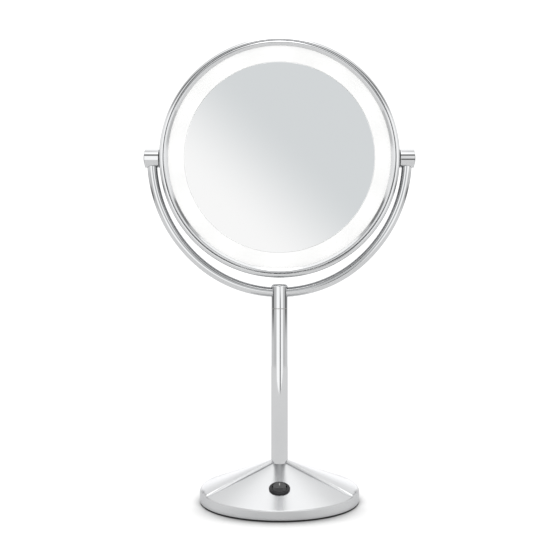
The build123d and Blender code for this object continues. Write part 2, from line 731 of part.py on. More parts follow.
# ---------------------------------------------------------------- write the nodes
def write_head():
    export("head_band", in_head(head_band()))
    export("front_bezel", in_head(bezel()))
    export("rear_bezel", in_head(Rot(180, 0, 0) * bezel()))
    export("front_diffuser", in_head(diffuser()))
    export("rear_diffuser", in_head(Rot(180, 0, 0) * diffuser()))
    export("plane_mirror", in_head(plane_mirror()))
    export("magnifying_mirror", in_head(Rot(180, 0, 0) * magnifying_mirror()))
    export("mirror_carrier", in_head(mirror_carrier()))
    export("led_board", in_head(led_board()))
    export("front_leds", group([in_head(lamp) for lamp in leds(1)]))
    export("rear_leds", group([in_head(lamp) for lamp in leds(-1)]))
    export("front_mirror_tape", in_head(front_tape()))
    export("rear_mirror_tape", in_head(Rot(180, 0, 0) * rear_tape()))
    export("head_cable", head_cable())


def write_pivots():
    for side in ("left", "right"):
        export(f"{side}_pivot_pin", on_pivot(pivot_pin(), side))
        export(f"{side}_pivot_nut", on_pivot(pivot_nut(), side))
        export(f"{side}_pivot_washer", on_pivot(inner_washer(), side))
        export(f"{side}_spacer", on_pivot(spacer(), side))
        export(f"{side}_wave_washer", on_pivot(wave_washer(), side))
        export(f"{side}_knob", on_pivot(knob(), side) - tube_along(YOKE_LINE, YOKE_R + TOUCH))
        export(f"{side}_knob_cap", on_pivot(knob_cap(), side))


def write_neck():
    export("yoke_tube", yoke_tube())
    export("neck_tee", neck_tee())
    export("swivel_stop_pin", stop_pin())
    export("spigot_clip", spigot_clip())
    export("thrust_washer", thrust_washer())
    export("neck_bushing", neck_bushing())
    export("stem_tube", stem_tube())
    export("stem_plug", stem_plug())
    export("stem_nipple", stem_nipple())
    export("stem_washer", stem_washer())
    export("stem_nut", stem_nut())
    export("yoke_cable", yoke_cable())
    export("stem_cable", stem_cable())


def write_base():
    export("base_cover", base_cover())
    export("base_tray", base_tray())
    export("battery_door", battery_door())
    export("foot_ring", foot_ring())
    export("ballast_ring", ballast_ring())
    export("base_screws", group(around(base_screw(), SCREW_ANGLES, SCREW_CIRCLE_R)))
    export("aa_cells", group(aa_cell(i) for i in range(4)))
    export("contact_springs", group(contact_spring(i) for i in range(4)))
    export("contact_plates", group(contact_plates()))
    export("switch_housing", SWITCH * switch_housing())
    export("switch_rocker", SWITCH * switch_rocker())
    export("switch_terminals", group(SWITCH * tab for tab in switch_terminals()))
    for name, lead in zip(("battery_lead", "switch_lead", "return_lead"), base_leads()):
        export(name, lead)


write_head()
write_pivots()
write_neck()
write_base()
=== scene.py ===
"""Looks of the lighted vanity mirror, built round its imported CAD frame.

Metres, +Z up, the front faces -Y and the origin is under the middle of the base. The base cover, the rings
and the plane mirror of the head are remade here as finer meshes, the rocker gets its mark, and every other
CAD node is kept and dressed. The studio is a white floor inside a dome that only reflections see, with a
card behind the camera for the plane mirror.
"""

import math

import bpy
from mathutils import Matrix, Vector


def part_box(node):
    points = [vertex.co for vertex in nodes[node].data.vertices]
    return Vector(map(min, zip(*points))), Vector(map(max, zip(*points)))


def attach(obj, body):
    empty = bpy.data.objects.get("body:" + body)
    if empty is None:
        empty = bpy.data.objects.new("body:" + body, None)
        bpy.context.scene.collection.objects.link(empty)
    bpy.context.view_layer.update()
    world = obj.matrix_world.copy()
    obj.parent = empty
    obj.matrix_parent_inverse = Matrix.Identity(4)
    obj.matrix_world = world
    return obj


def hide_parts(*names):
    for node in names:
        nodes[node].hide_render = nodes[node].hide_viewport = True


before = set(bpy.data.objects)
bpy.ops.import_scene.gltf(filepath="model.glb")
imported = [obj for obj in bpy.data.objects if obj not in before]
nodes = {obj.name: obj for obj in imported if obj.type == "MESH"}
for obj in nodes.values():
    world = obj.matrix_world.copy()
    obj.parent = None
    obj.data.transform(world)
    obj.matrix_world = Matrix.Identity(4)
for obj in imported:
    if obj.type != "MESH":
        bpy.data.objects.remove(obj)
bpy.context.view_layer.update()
MM = 0.001


# ---------------------------------------------------------------- small helpers
def ease(value, low, high):
    """0 below low, 1 above high and a smooth rise between them."""
    t = min(max((value - low) / (high - low), 0.0), 1.0)
    return t * t * (3 - 2 * t)


def bump_at(value, centre, half_width, soft):
    """1 within half_width of centre, falling to 0 over soft on each side."""
    return 1 - ease(abs(value - centre), half_width, half_width + soft)


def rounded(corners, steps=6):
    """A closed outline through (a, b, radius) corners, each corner an arc of its radius."""
    points = []
    for i, (a, b, radius) in enumerate(corners):
        here = Vector((a, b))
        if radius == 0:
            points.append(here)
            continue
        u = (Vector(corners[i - 1][:2]) - here).normalized()
        v = (Vector(corners[(i + 1) % len(corners)][:2]) - here).normalized()
        half = u.angle(v) / 2
        centre = here + (u + v).normalized() * radius / math.sin(half)
        start = here + u * radius / math.tan(half) - centre
        end = here + v * radius / math.tan(half) - centre
        angle = start.angle(end)
        for k in range(steps + 1):
            t = k / steps
            turn = start * math.sin((1 - t) * angle) + end * math.sin(t * angle)
            points.append(centre + turn / math.sin(angle))
    return points


def grid_faces(rows, row, closed):
    """Quads between rows of row vertices each; closed joins the last vertex of a row to its first."""
    faces = []
    for j in range(rows - 1):
        for i in range(row if closed else row - 1):
            here, after = j * row + i, j * row + (i + 1) % row
            faces.append((here, after, after + row, here + row))
    return faces


def mesh_object(name, vertices, faces, material, smooth_angle=35):
    mesh = bpy.data.meshes.new(name)
    mesh.from_pydata([tuple(v) for v in vertices], [], faces)
    mesh.validate()
    mesh.materials.append(material)
    mesh.polygons.foreach_set("use_smooth", [True] * len(mesh.polygons))
    mesh.set_sharp_from_angle(angle=math.radians(smooth_angle))
    piece = bpy.data.objects.new(name, mesh)
    bpy.context.scene.collection.objects.link(piece)
    return piece


def applied(piece, kind, **settings):
    """Runs one modifier on the piece's mesh and keeps only the result."""
    change = piece.modifiers.new("change", kind)
    for key, value in settings.items():
        setattr(change, key, value)
    graph = bpy.context.evaluated_depsgraph_get()
    made = bpy.data.meshes.new_from_object(piece.evaluated_get(graph))
    old = piece.data
    piece.modifiers.clear()
    piece.data = made
    bpy.data.meshes.remove(old)


def lathed(outline, place, segments):
    """Vertices and faces of a closed (r, h) outline turned about the axis of place, in millimetres."""
    vertices, faces, rows = [], [], []
    for r, h in outline:
        if r < 1e-6:
            rows.append([len(vertices)] * segments)
            vertices.append(place @ Vector((0, 0, h)) * MM)
            continue
        rows.append(list(range(len(vertices), len(vertices) + segments)))
        for k in range(segments):
            turn = 2 * math.pi * k / segments
            vertices.append(place @ Vector((r * math.cos(turn), r * math.sin(turn), h)) * MM)
    for row, below in zip(rows, rows[1:] + rows[:1]):
        for k in range(segments):
            loop = [row[k], row[(k + 1) % segments], below[(k + 1) % segments], below[k]]
            loop = list(dict.fromkeys(loop))
            if len(loop) > 2:
                faces.append(loop)
    return vertices, faces


def carry(piece, body, slot, *replaced):
    """Puts the piece on a body, in place of the replaced nodes. The slot is not used."""
    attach(piece, body)
    if replaced:
        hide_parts(*replaced)


# ---------------------------------------------------------------- materials
NOISE_SPAN = (0.3, 0.7)
CHROME_DARK = (0.545, 0.550, 0.556)
CHROME_LIGHT = (0.570, 0.575, 0.581)
LAMPS = 12
PIVOT = (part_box("head_band")[0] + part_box("head_band")[1]) / 2  # middle of the head


def blank(name):
    material = bpy.data.materials.new(name)
    material.use_nodes = True
    tree = material.node_tree
    return material, tree, tree.nodes["Principled BSDF"]


def noise(tree, scale, detail=3.0, stretch=(1, 1, 1)):
    """Noise over the object's own coordinates, in metres."""
    place = tree.nodes.new("ShaderNodeTexCoord")
    mapping = tree.nodes.new("ShaderNodeMapping")
    mapping.inputs["Scale"].default_value = stretch
    texture = tree.nodes.new("ShaderNodeTexNoise")
    texture.inputs["Scale"].default_value = scale
    texture.inputs["Detail"].default_value = detail
    tree.links.new(place.outputs["Object"], mapping.inputs["Vector"])
    tree.links.new(mapping.outputs["Vector"], texture.inputs["Vector"])
    return texture.outputs["Fac"]


def along_axes(tree, coordinate):
    """The X, Y and Z of the object's own coordinates or normal."""
    place = tree.nodes.new("ShaderNodeTexCoord")
    parts = tree.nodes.new("ShaderNodeSeparateXYZ")
    tree.links.new(place.outputs[coordinate], parts.inputs["Vector"])
    return parts.outputs


def computed(tree, operation, *terms):
    """A Math node over linked or constant terms."""
    node = tree.nodes.new("ShaderNodeMath")
    node.operation = operation
    for socket, term in zip(node.inputs, terms):
        if isinstance(term, float):
            socket.default_value = term
        else:
            tree.links.new(term, socket)
    return node.outputs["Value"]


def ramp(tree, value, stops):
    """A colour from (position, colour) stops, where a colour is a grey level or three levels."""
    node = tree.nodes.new("ShaderNodeValToRGB")
    elements = node.color_ramp.elements
    while len(elements) < len(stops):
        elements.new(0.5)
    for element, (position, colour) in zip(elements, stops):
        element.position = position
        element.color = (colour, colour, colour, 1) if isinstance(colour, float) else (*colour, 1)
    tree.links.new(value, node.inputs["Fac"])
    return node.outputs["Color"]


def map_range(tree, value, source, target):
    node = tree.nodes.new("ShaderNodeMapRange")
    node.inputs["From Min"].default_value, node.inputs["From Max"].default_value = source
    node.inputs["To Min"].default_value, node.inputs["To Max"].default_value = target
    tree.links.new(value, node.inputs["Value"])
    return node.outputs["Result"]


def mixed(tree, share, first, second):
    node = tree.nodes.new("ShaderNodeMixRGB")
    tree.links.new(share, node.inputs["Fac"])
    tree.links.new(first, node.inputs["Color1"])
    tree.links.new(second, node.inputs["Color2"])
    return node.outputs["Color"]


def coloured(tree, shader, value, stops):
    tree.links.new(ramp(tree, value, stops), shader.inputs["Base Color"])


def roughened(tree, shader, value, smooth, rough):
    """Roughness over the middle of a noise's range, where most of it lies."""
    tree.links.new(map_range(tree, value, NOISE_SPAN, (smooth, rough)), shader.inputs["Roughness"])


def relief(tree, shader, height, distance):
    node = tree.nodes.new("ShaderNodeBump")
    node.inputs["Distance"].default_value = distance
    node.inputs["Strength"].default_value = 1.0
    tree.links.new(height, node.inputs["Height"])
    tree.links.new(node.outputs["Normal"], shader.inputs["Normal"])


def moulded(
    name, dark, light, roughness, grain_scale, grain_depth, metallic=0.0, patch_scale=60.0, specular=0.5
):
    """A common finish: patchy colour between two shades, patchy roughness and a fine grain."""
    material, tree, shader = blank(name)
    shader.inputs["Metallic"].default_value = metallic
    shader.inputs["Specular IOR Level"].default_value = specular
    patches = noise(tree, patch_scale)
    dark_end, light_end = NOISE_SPAN
    coloured(tree, shader, patches, [(dark_end, dark), (light_end, light)])
    roughened(tree, shader, patches, *roughness)
    relief(tree, shader, noise(tree, grain_scale, 2.0), grain_depth)
    return material


def chrome(name, smooth, hazy):
    """Chromium plate with faint wiping haze and a barely uneven polish, between two roughnesses."""
    material, tree, shader = blank(name)
    shader.inputs["Metallic"].default_value = 1.0
    shader.inputs["Specular Tint"].default_value = (0.80, 0.80, 0.81, 1)
    haze = noise(tree, 45.0, 5.0, (1, 1, 0.5))
    dark_end, light_end = NOISE_SPAN
    coloured(tree, shader, haze, [(dark_end, CHROME_DARK), (light_end, CHROME_LIGHT)])
    roughened(tree, shader, haze, smooth, hazy)
    relief(tree, shader, noise(tree, 160.0, 2.0), 0.000002)
    return material


def silvered():
    """Silvered glass: a mirror on the faces, green-grey glass at the ground edge."""
    material, tree, shader = blank("silvered_glass")
    shader.inputs["Metallic"].default_value = 1.0
    shader.inputs["Coat Weight"].default_value = 0.15
    shader.inputs["Coat Roughness"].default_value = 0.0
    facing = computed(tree, "ABSOLUTE", along_axes(tree, "Normal")["Y"])
    edge, face = (0.30, 0.42, 0.38), (0.94, 0.94, 0.94)
    coloured(tree, shader, facing, [(0.45, edge), (0.6, face)])
    roughened(tree, shader, noise(tree, 30.0, 6.0), 0.0, 0.012)
    return material


def opal():
    """Opal ring lit from inside by a ring of lamps: a little brighter over each lamp."""
    material, tree, shader = blank("opal_ring")
    axes = along_axes(tree, "Object")
    height = computed(tree, "SUBTRACT", axes["Z"], PIVOT.z)
    turn = computed(tree, "ARCTAN2", height, axes["X"])
    wave = computed(tree, "COSINE", computed(tree, "MULTIPLY", turn, float(LAMPS)))
    tree.links.new(map_range(tree, wave, (-1.0, 1.0), (0.02, 0.06)), shader.inputs["Emission Strength"])
    shader.inputs["Emission Color"].default_value = (1.0, 0.995, 0.98, 1)
    cloud = noise(tree, 40.0)
    dark_end, light_end = NOISE_SPAN
    coloured(tree, shader, cloud, [(dark_end, (0.825, 0.825, 0.82)), (light_end, (0.845, 0.845, 0.84))])
    roughened(tree, shader, cloud, 0.32, 0.42)
    return material


def cell_jacket():
    """Plastic wrap of a cell: a dark body with a copper-coloured band at one end."""
    material, tree, shader = blank("cell_wrap")
    shader.inputs["Metallic"].default_value = 0.4
    low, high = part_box("aa_cells")
    along = map_range(tree, along_axes(tree, "Object")["Y"], (low.y, high.y), (0.0, 1.0))
    copper, body = (0.55, 0.27, 0.11), (0.02, 0.02, 0.022)
    coloured(tree, shader, along, [(0.0, copper), (0.27, copper), (0.28, body)])
    wrinkle = noise(tree, 300.0)
    roughened(tree, shader, wrinkle, 0.22, 0.32)
    relief(tree, shader, wrinkle, 0.00002)
    return material


def circuit_board():
    """White solder mask with faint copper tracks under it."""
    material, tree, shader = blank("white_board")
    place = tree.nodes.new("ShaderNodeTexCoord")
    tracks = tree.nodes.new("ShaderNodeTexWave")
    tracks.wave_type = "RINGS"
    tracks.rings_direction = "Y"
    tracks.inputs["Scale"].default_value = 90.0
    tree.links.new(place.outputs["Object"], tracks.inputs["Vector"])
    track = tracks.outputs["Fac"]
    coloured(tree, shader, track, [(0.45, (0.80, 0.81, 0.78)), (0.55, (0.70, 0.72, 0.66))])
    roughened(tree, shader, noise(tree, 900.0), 0.35, 0.5)
    relief(tree, shader, track, 0.00002)
    return material


def make_materials():
    """A finish for each of the record's slots, and those of the cover, the rocker and its mark."""
    return {
        "chrome_steel": chrome("chrome_plate", 0.035, 0.06),
        "satin_cover": chrome("satin_chrome_plate", 0.22, 0.26),
        "mirror_glass": silvered(),
        "opal": opal(),
        "switch_black": moulded(
            "glossy_black", (0.010, 0.010, 0.011), (0.018, 0.018, 0.019), (0.16, 0.26), 900, 0.000006,
            specular=0.22,
        ),
        "rocker_black": moulded(
            "satin_black", (0.016, 0.016, 0.017), (0.024, 0.024, 0.025), (0.26, 0.34), 1500, 0.00001,
            specular=0.36,
        ),
        "black_plastic": moulded(
            "textured_black", (0.014, 0.014, 0.015), (0.030, 0.030, 0.031), (0.45, 0.62), 2500, 0.00008
        ),
        "black_rubber": moulded(
            "soft_rubber", (0.008, 0.008, 0.008), (0.016, 0.016, 0.016), (0.8, 0.95), 1600, 0.00006
        ),
        "plain_steel": moulded(
            "zinc_steel", (0.42, 0.43, 0.45), (0.62, 0.62, 0.60), (0.22, 0.4), 1500, 0.00001, 1.0, 250.0
        ),
        "ballast_iron": moulded(
            "painted_iron", (0.05, 0.05, 0.055), (0.10, 0.10, 0.105), (0.5, 0.75), 1200, 0.0001,
            0.3, 120.0,
        ),
        "cell_jacket": cell_jacket(),
        "nylon": moulded(
            "grey_nylon", (0.30, 0.295, 0.28), (0.38, 0.37, 0.35), (0.35, 0.5), 1800, 0.00003
        ),
        "white_moulding": moulded(
            "white_plastic", (0.78, 0.78, 0.77), (0.86, 0.86, 0.85), (0.4, 0.55), 1500, 0.00003
        ),
        "mark": moulded(
            "mark_white", (0.34, 0.34, 0.335), (0.42, 0.42, 0.415), (0.4, 0.5), 2500, 0.00001
        ),
        "foam_tape": moulded("foam", (0.55, 0.55, 0.53), (0.72, 0.72, 0.70), (0.8, 0.95), 1100, 0.0002),
        "circuit_board": circuit_board(),
        "lamp_body": moulded(
            "lamp_package", (0.75, 0.70, 0.42), (0.86, 0.84, 0.66), (0.3, 0.5), 2500, 0.00002
        ),
        "brass_tabs": moulded(
            "brass", (0.58, 0.42, 0.18), (0.72, 0.55, 0.27), (0.2, 0.38), 1500, 0.00001, 1.0, 300.0
        ),
        "lead_black": moulded(
            "black_vinyl", (0.012, 0.012, 0.012), (0.03, 0.03, 0.03), (0.35, 0.5), 2200, 0.00003
        ),
        "lead_red": moulded(
            "red_vinyl", (0.30, 0.012, 0.010), (0.46, 0.03, 0.02), (0.35, 0.5), 2200, 0.00003
        ),
    }


def dress_nodes(finishes):
    """Gives each carried-over CAD node the finish of its slot."""
    for node in nodes.values():
        for place in node.material_slots:
            place.material = finishes[place.material.name.split(".")[0]]
    nodes["switch_rocker"].material_slots[0].material = finishes["rocker_black"]


# ---------------------------------------------------------------- base cover, in millimetres
BASE_R = 68.25
FOOT_Z = 1.3  # the rim's lower edge
FOOT_EASE = 0.3  # chamfer on that edge
SKIN = 2.0
SKIN_DROP = 1.08 * SKIN  # straight down, for about that thickness across the slopes
INNER_STEP = 0.4  # from the rim's inside to where the roof starts
SOCKET_R = 7.17  # the stem's hole
SHOULDER_TOP = 35.0  # at the socket
SHOULDER_SLOPE = 0.372
PANEL_TOP = 35.43  # of the panel's cone, on the axis
PANEL_SLOPE = 0.34
PANEL_LEAN = 0.05  # extra slope straight ahead
CREASE = math.radians(62)  # from straight ahead to each crease
SHOULDER_ROUND = 5.0  # of the rim, beside the panel
RIM_ROUND = 0.9  # of the rim, in front of the panel
ROUND_CHANGE = (-0.02, 0.16)  # past the crease, between those two, in radians
SWITCH_OUT = 40.5  # from the axis to the switch's middle
SWITCH_HOLE_R = 7.6
SWITCH_HOLE_SPAN = (-9, 6)  # of its cutter, over the panel
ROLL_TIGHT = 0.5  # width of the roll from a crease up to the shoulder, by the stem
ROLL_BROAD = 2.6  # and at the rim
GROOVE_DEEP = 0.45
GROOVE_HALF = 0.38  # half its width
GROOVE_START = (3.0, 8.0)  # out from the stem's hole, where the groove deepens
RADIAL_STEPS = 70
ROUND_STEPS = 10
WALL_STEPS = 4
INNER_STEPS = 24
BORE_SEGMENTS = 64


def panel_height(r, angle):
    return PANEL_TOP - r * (PANEL_SLOPE + PANEL_LEAN * math.cos(angle))


def shoulder_height(r):
    return SHOULDER_TOP - SHOULDER_SLOPE * (r - SOCKET_R)


def cover_height(r, angle):
    """Outer height at radius r, angle from straight ahead. From the crease the shoulder rises steeply
    and rolls over, tightly by the stem and broadly at the rim."""
    shoulder = shoulder_height(r)
    past = abs(angle) - CREASE
    if past <= 0:
        return panel_height(r, angle)
    if past >= math.pi / 2:
        return shoulder
    floor = panel_height(r, CREASE)
    roll = ROLL_TIGHT + (ROLL_BROAD - ROLL_TIGHT) * (r / BASE_R) ** 4
    left = max(1 - r * math.sin(past) / roll, 0.0)
    return shoulder - (shoulder - floor) * left**2


def with_groove(r, angle):
    """The cover's height with the fine groove that runs down each crease."""
    beside = min(abs(abs(angle) - CREASE), math.pi / 2)
    share = max(1 - r * math.sin(beside) / GROOVE_HALF, 0.0)
    start, full = GROOVE_START
    return cover_height(r, angle) - GROOVE_DEEP * ease(r, SOCKET_R + start, SOCKET_R + full) * share


def rim_round(angle):
    """Radius of the rim's upper edge."""
    start, full = ROUND_CHANGE
    return RIM_ROUND + (SHOULDER_ROUND - RIM_ROUND) * ease(abs(angle), CREASE + start, CREASE + full)


def cover_profile(angle):
    """One half-section of the shell, as (r, z) from the socket out over the rim and back inside."""
    round_r = rim_round(angle)
    near_rim = BASE_R - round_r
    inside, outside = near_rim - 1.0, near_rim + 0.5
    fall = cover_height(inside, angle) - cover_height(outside, angle)
    lean = math.atan(fall / (outside - inside))
    tangent_r = near_rim + round_r * math.sin(lean)
    centre_z = cover_height(tangent_r, angle) - round_r * math.cos(lean)
    wall_foot = FOOT_Z + FOOT_EASE
    outer = []
    for k in range(RADIAL_STEPS):
        r = SOCKET_R + (tangent_r - SOCKET_R) * k / RADIAL_STEPS
        outer.append((r, with_groove(r, angle)))
    for k in range(ROUND_STEPS + 1):
        theta = (math.pi / 2 - lean) * (1 - k / ROUND_STEPS)
        outer.append((near_rim + round_r * math.cos(theta), centre_z + round_r * math.sin(theta)))
    for k in range(1, WALL_STEPS + 1):
        outer.append((BASE_R, centre_z + (wall_foot - centre_z) * k / WALL_STEPS))
    outer.append((BASE_R - FOOT_EASE, FOOT_Z))
    inner_r = BASE_R - SKIN
    roof_r = inner_r - INNER_STEP
    inner = [(inner_r, FOOT_Z)]
    for k in range(INNER_STEPS + 1):
        r = roof_r - (roof_r - SOCKET_R) * k / INNER_STEPS
        inner.append((r, min(cover_height(r, angle), centre_z + round_r) - SKIN_DROP))
    return outer + inner


def cover_angles():
    """Angles from straight ahead, closer together over the creases and the rolls beside them."""
    half = []
    angle = 0.0
    while angle < math.pi - 1e-9:
        half.append(angle)
        past = math.degrees(angle - CREASE)
        if -0.8 < past < 1.6:
            step = 0.1
        elif -1.5 < past < 8:
            step = 0.3
        else:
            step = 1.0
        angle += math.radians(step)
    return [-a for a in reversed(half[1:])] + half + [math.pi]


def cover_shell(material):
    angles = cover_angles()
    vertices, faces = [], []
    for angle in angles:
        for r, z in cover_profile(angle):
            vertices.append(Vector((r * math.sin(angle), -r * math.cos(angle), z)) * MM)
    row = len(vertices) // len(angles)
    for i in range(len(angles)):
        here, after = i * row, (i + 1) % len(angles) * row
        for k in range(row):
            up = (k + 1) % row
            faces.append((here + k, after + k, after + up, here + up))
    return mesh_object("base_cover_shell", vertices, faces, material, 50)


def panel_frame():
    """The switch's frame on the panel: +Z out of the panel, +Y up the slope, in millimetres."""
    lean = math.atan(PANEL_SLOPE + PANEL_LEAN)
    middle = (0, -SWITCH_OUT, panel_height(SWITCH_OUT, 0))
    return Matrix.Translation(middle) @ Matrix.Rotation(lean, 4, "X")


def bored(piece, radius, low, high, place):
    """Cuts a round hole about the axis of place, between two heights on it."""
    outline = [(0, low), (radius, low), (radius, high), (0, high)]
    vertices, faces = lathed(outline, place, BORE_SEGMENTS)
    tool = mesh_object("tool", vertices, faces, piece.data.materials[0])
    applied(piece, "BOOLEAN", operation="DIFFERENCE", solver="EXACT", object=tool)
    bpy.data.objects.remove(tool)


def make_cover(finishes):
    """Chromed shell with the stem's hole at the top and the switch's hole in the panel."""
    cover = cover_shell(finishes["satin_cover"])
    bored(cover, SWITCH_HOLE_R, *SWITCH_HOLE_SPAN, panel_frame())
    carry(cover, "root", "chrome_steel", "base_cover")


# ---------------------------------------------------------------- head, in millimetres from its middle
HEAD = Matrix.Translation(PIVOT / MM) @ Matrix.Rotation(math.radians(90), 4, "X")
BACK = HEAD @ Matrix.Rotation(math.radians(180), 4, "X")
TURNED_SEGMENTS = 360
BAND_R = 102.5
BAND_LIP_R = 98.85  # inside of the hoop's lips
BAND_IN_R = 100.6
BAND_EDGE = 11.0
BAND_SHOULDER = 3.0  # rounding of the hoop's outer edges
LIP_ROUND = 0.9
LIP_FACE = 8.7  # inner side of each lip, where a slope starts
LIP_FOOT = 7.2  # and where the slope meets the hoop
BEZEL_OUT_R = 98.73
BEZEL_CREST_R = 96.9
BEZEL_IN_R = 94.9
CREST = 12.0
CREST_OUT_ROUND = 1.5
CREST_IN_ROUND = 1.2
SEAT = 5.6  # where the bezel ends behind the lit ring
SLOPE_FOOT = 10.35  # of the bezel's slope, at the lit ring
SLOPE_FOOT_ROUND = 0.2
OPAL_IN_R = 81.16
OPAL_OUT_R = 96.9
OPAL_FACE = 9.8
OPAL_BACK = 7.8
OPAL_CROWN = 0.8
OPAL_STEPS = 16
GLASS_R = 81.1
GLASS_FACE = 9.5
GLASS_BACK = 6.5
GLASS_EASE = 0.3


def turned_piece(name, outline, place, finish, slot, node):
    """A lathed piece of the head in place of one CAD node."""
    vertices, faces = lathed(outline, place, TURNED_SEGMENTS)
    piece = mesh_object(name, vertices, faces, finish)
    applied(piece, "WEIGHTED_NORMAL", keep_sharp=True)
    carry(piece, "head", slot, node)


def band_outline():
    """The hoop: rounded shoulders, inward lips with eased edges."""
    return rounded([
        (BAND_R, -BAND_EDGE, BAND_SHOULDER),
        (BAND_R, BAND_EDGE, BAND_SHOULDER),
        (BAND_LIP_R, BAND_EDGE, LIP_ROUND),
        (BAND_LIP_R, LIP_FACE, 0),
        (BAND_IN_R, LIP_FOOT, 0),
        (BAND_IN_R, -LIP_FOOT, 0),
        (BAND_LIP_R, -LIP_FACE, 0),
        (BAND_LIP_R, -BAND_EDGE, LIP_ROUND),
    ], 12)


def bezel_outline():
    """The ring inside the hoop: a rounded crest and a slope in to the lit ring."""
    seat_r, over_opal = OPAL_OUT_R + 0.2, OPAL_FACE + 0.05
    return rounded([
        (seat_r, SEAT, 0),
        (BEZEL_OUT_R, SEAT, 0),
        (BEZEL_OUT_R, CREST, CREST_OUT_ROUND),
        (BEZEL_CREST_R, CREST, CREST_IN_ROUND),
        (BEZEL_IN_R, SLOPE_FOOT, SLOPE_FOOT_ROUND),
        (BEZEL_IN_R, over_opal, 0),
        (seat_r, over_opal, 0),
    ], 10)


def opal_outline():
    """The lit ring, crowned a little between the mirror and the bezel."""
    outline = [(OPAL_IN_R, OPAL_BACK), (OPAL_OUT_R, OPAL_BACK), (OPAL_OUT_R, OPAL_FACE)]
    for k in range(OPAL_STEPS + 1):
        t = k / OPAL_STEPS
        r = BEZEL_IN_R + (OPAL_IN_R - BEZEL_IN_R) * t
        outline.append((r, OPAL_FACE + (GLASS_FACE - OPAL_FACE) * t + OPAL_CROWN * t * (1 - t)))
    return outline


def glass_outline():
    """The plane mirror: a disc with eased edges."""
    return rounded([
        (0, GLASS_BACK, 0),
        (GLASS_R, GLASS_BACK, GLASS_EASE),
        (GLASS_R, GLASS_FACE, GLASS_EASE),
        (0, GLASS_FACE, 0),
    ])


def make_head(finishes):
    plate, lit, glass = finishes["chrome_steel"], finishes["opal"], finishes["mirror_glass"]
    turned_piece("head_hoop", band_outline(), HEAD, plate, "chrome_steel", "head_band")
    for side, place in (("front", HEAD), ("rear", BACK)):
        turned_piece(
            f"{side}_bezel_ring", bezel_outline(), place, plate, "chrome_steel", f"{side}_bezel"
        )
        turned_piece(f"{side}_lit_ring", opal_outline(), place, lit, "opal", f"{side}_diffuser")
    turned_piece("plane_mirror_disc", glass_outline(), HEAD, glass, "mirror_glass", "plane_mirror")


# ---------------------------------------------------------------- switch mark, in millimetres
ROCKER_PIVOT = 0.2  # height over the panel
ROCKER_TURN = math.radians(8)  # its far half stands up at rest
ROCKER_VEE = math.radians(10)
ROCKER_DIP = 0.9  # height of the vee's valley over the pivot
MARK_HALF_WIDTH = 0.34
MARK_LENGTH = 2.6
MARK_HEIGHT = 0.10
MARK_OUT = 3.5  # from the valley to the mark's middle
MARK_ROOT = 0.1  # how deep it is set in the rocker
MARK_TOP = (0.8, 0.98)  # its top's width and length over its foot's
MARK_END_STEPS = 12


def mark_place():
    """The mark's frame on the rocker's far half, +Z out of the face, in millimetres."""
    return (
        panel_frame()
        @ Matrix.Translation((0, 0, ROCKER_PIVOT))
        @ Matrix.Rotation(ROCKER_TURN, 4, "X")
        @ Matrix.Translation((0, MARK_OUT, ROCKER_DIP + MARK_OUT * math.tan(ROCKER_VEE)))
        @ Matrix.Rotation(ROCKER_VEE, 4, "X")
    )


def mark_rim():
    """The mark's outline: two half circles joined by straight sides."""
    half = MARK_HALF_WIDTH
    straight = MARK_LENGTH / 2 - half
    rim = []
    for end, start in ((1, 0.0), (-1, math.pi)):
        for k in range(MARK_END_STEPS + 1):
            turn = start + math.pi * k / MARK_END_STEPS
            rim.append((half * math.cos(turn), half * math.sin(turn) + end * straight))
    return rim


def make_mark(finishes):
    """The short raised bar on the rocker's far half that marks its on side, drawn in at the top."""
    place, rim = mark_place(), mark_rim()
    layers = [(1, 1, -MARK_ROOT), (1, 1, MARK_HEIGHT / 2), (*MARK_TOP, MARK_HEIGHT)]
    vertices = []
    for wide, long, z in layers:
        vertices += [place @ Vector((x * wide, y * long, z)) * MM for x, y in rim]
    row = len(rim)
    faces = grid_faces(len(layers), row, closed=True)
    faces.append(list(range(row))[::-1])
    faces.append(list(range(len(vertices) - row, len(vertices))))
    mark = mesh_object("rocker_on_mark", vertices, faces, finishes["mark"])
    carry(mark, "rocker", "white_moulding")


# ---------------------------------------------------------------- studio
CAMERA_PLACE = (0.0, -0.742, 0.190)
SENSOR = 36.0  # millimetres
FOCAL = 1.54204  # focal length over the frame's width
LIGHT = 1.15  # brightness of the open white studio
FLOOR_FRONT = -0.72  # the table's front edge
FLOOR_REACH = 6.0  # to the sides and the back
FLOOR_WHITE = 0.95
SHADOW_REACH = 0.030
SHADOW_TURN = (-0.020, -0.062)  # Y from the tight shadow to the long one
DIM_PLACE = (0, -0.092, 0)  # painted shade: reflections see the floor dimmer about this place
DIM_REACH = (0.030, 0.085)
DOME_R = 1.15
DOME_LOW = -45  # degrees
GLOW = "glow"  # the attribute that holds a stage mesh's brightness


def make_camera():
    data = bpy.data.cameras.new("camera")
    data.sensor_width = SENSOR
    data.lens = data.sensor_width * FOCAL
    data.clip_start = 0.01
    data.clip_end = 20.0
    camera = bpy.data.objects.new("camera", data)
    bpy.context.scene.collection.objects.link(camera)
    camera.location = CAMERA_PLACE
    camera.rotation_euler = (math.radians(90), 0, 0)
    bpy.context.scene.camera = camera


def make_world():
    world = bpy.data.worlds.new("studio")
    bpy.context.scene.world = world
    world.use_nodes = True
    background = world.node_tree.nodes["Background"]
    background.inputs["Color"].default_value = (1, 1, 1, 1)
    background.inputs["Strength"].default_value = LIGHT


